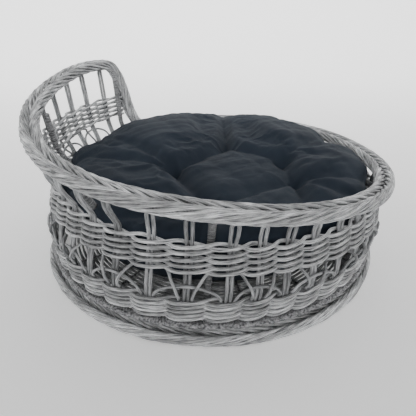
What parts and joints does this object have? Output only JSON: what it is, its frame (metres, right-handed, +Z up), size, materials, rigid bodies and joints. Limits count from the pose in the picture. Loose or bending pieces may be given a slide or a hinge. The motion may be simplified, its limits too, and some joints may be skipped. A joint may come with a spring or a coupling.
{
  "type": "pet bed basket",
  "caption": "Round woven willow pet bed with a raised openwork headrest, plaited borders and a thick loose tufted cushion.",
  "frame": {"origin": "centre of the ring that the basket stands on, at floor level", "axes": "+Z up; -Y is the front, and the headrest rises at the left and back, towards -X and +Y"},
  "size_m": [0.501, 0.4991, 0.2478],
  "materials": {
    "woven_willow": "grey wash over darker willow, worn lighter on the crowns",
    "stake_willow": "grey wash, matt",
    "border_willow": "grey wash, matt, worn lighter on the crowns",
    "frame_willow": "plain willow under the wrapping",
    "wrapped_cane": "narrow cane wound side by side, grey wash",
    "cushion_fabric": "plain woven cotton, dark slate blue",
    "cushion_fill": "fibre filling",
    "tuft_thread": "waxed thread"
  },
  "bodies": {
    "basket": {"base_hoop": "frame_willow", "base_hoop_wrapping": "wrapped_cane", "base_sticks_front_to_back": "stake_willow", "base_sticks_side_to_side": "stake_willow", "base_weave_inner": "woven_willow", "base_weave_middle": "woven_willow", "base_weave_outer": "woven_willow", "foot_border_strand_inner": "border_willow", "foot_border_strand_outer": "border_willow", "foot_border_strand_upper": "border_willow", "frame_post_wrappings": "wrapped_cane", "frame_posts": "frame_willow", "headrest_arches": "stake_willow", "headrest_weave_row_1": "woven_willow", "headrest_weave_row_2": "woven_willow", "headrest_weave_row_3": "woven_willow", "headrest_weave_row_4": "woven_willow", "headrest_weave_row_5": "woven_willow", "lower_weave_row_1": "woven_willow", "lower_weave_row_2": "woven_willow", "lower_weave_row_3": "woven_willow", "lower_weave_row_4": "woven_willow", "lower_weave_row_5": "woven_willow", "middle_weave_row_1": "woven_willow", "middle_weave_row_2": "woven_willow", "middle_weave_row_3": "woven_willow", "middle_weave_row_4": "woven_willow", "middle_weave_row_5": "woven_willow", "rim_border_strand_inner": "border_willow", "rim_border_strand_outer": "border_willow", "rim_border_strand_top": "border_willow", "rim_hoop": "frame_willow", "stakes_back": "stake_willow", "stakes_front": "stake_willow", "stakes_headrest": "stake_willow", "stakes_left": "stake_willow", "stakes_right": "stake_willow", "window_arches_back": "stake_willow", "window_arches_front": "stake_willow", "window_arches_headrest": "stake_willow", "window_arches_left": "stake_willow", "window_arches_right": "stake_willow"},
    "cushion": {"cushion_cover": "cushion_fabric", "cushion_filling": "cushion_fill", "cushion_tuft_ties": "tuft_thread"}
  },
  "joints": [
    {"name": "cushion_lift", "type": "slide", "parent": "basket", "child": "cushion", "axis": [0, 0, 1], "range_m": [0, 0.23]}
  ]
}
